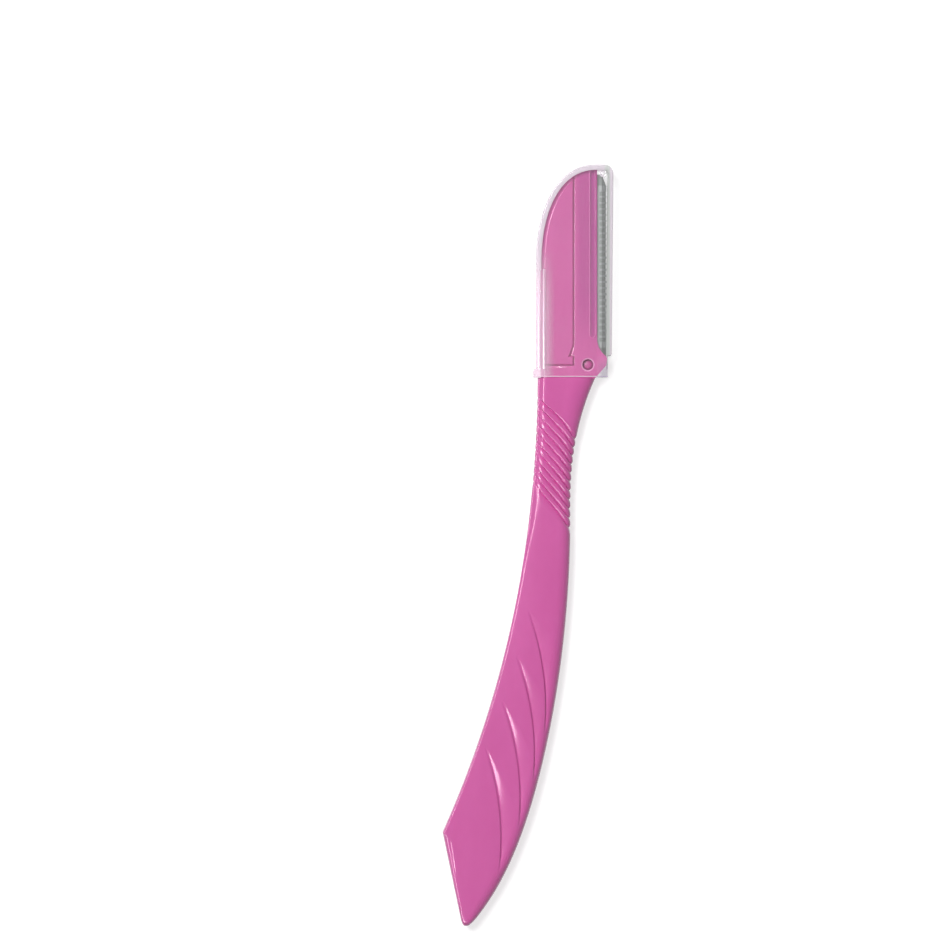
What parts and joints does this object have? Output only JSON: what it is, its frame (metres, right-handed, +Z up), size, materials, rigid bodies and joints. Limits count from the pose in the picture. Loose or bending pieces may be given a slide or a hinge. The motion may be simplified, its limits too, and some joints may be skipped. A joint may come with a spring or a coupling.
{
  "type": "eyebrow razor",
  "caption": "Slim face and eyebrow razor with a leaf-shaped curved handle, ribbed neck, locked-in guarded blade and a clear pull-off cap.",
  "frame": {"origin": "middle of the outline seen from above, on the surface that the razor lies on", "axes": "+Y along the head towards its tip, +X across towards the cutting edge, +Z up out of the face with the locking flap"},
  "size_m": [0.0336, 0.1502, 0.0052],
  "materials": {
    "body_plastic": "moulded magenta plastic, soft gloss",
    "blade_steel": "stainless strip with a ground edge",
    "guard_steel": "thin stainless foil, satin",
    "clear_plastic": "clear moulded polystyrene, polished faces"
  },
  "bodies": {
    "razor": {"handle": "body_plastic", "lock_flap": "body_plastic", "flap_hinge": "body_plastic", "blade": "blade_steel", "edge_guard": "guard_steel", "blade_stake": "body_plastic"},
    "cap": {"blade_cap": "clear_plastic"}
  },
  "joints": [
    {"name": "cap_slide", "type": "slide", "parent": "razor", "child": "cap", "axis": [0, 1, 0], "range_m": [0, 0.045]}
  ]
}
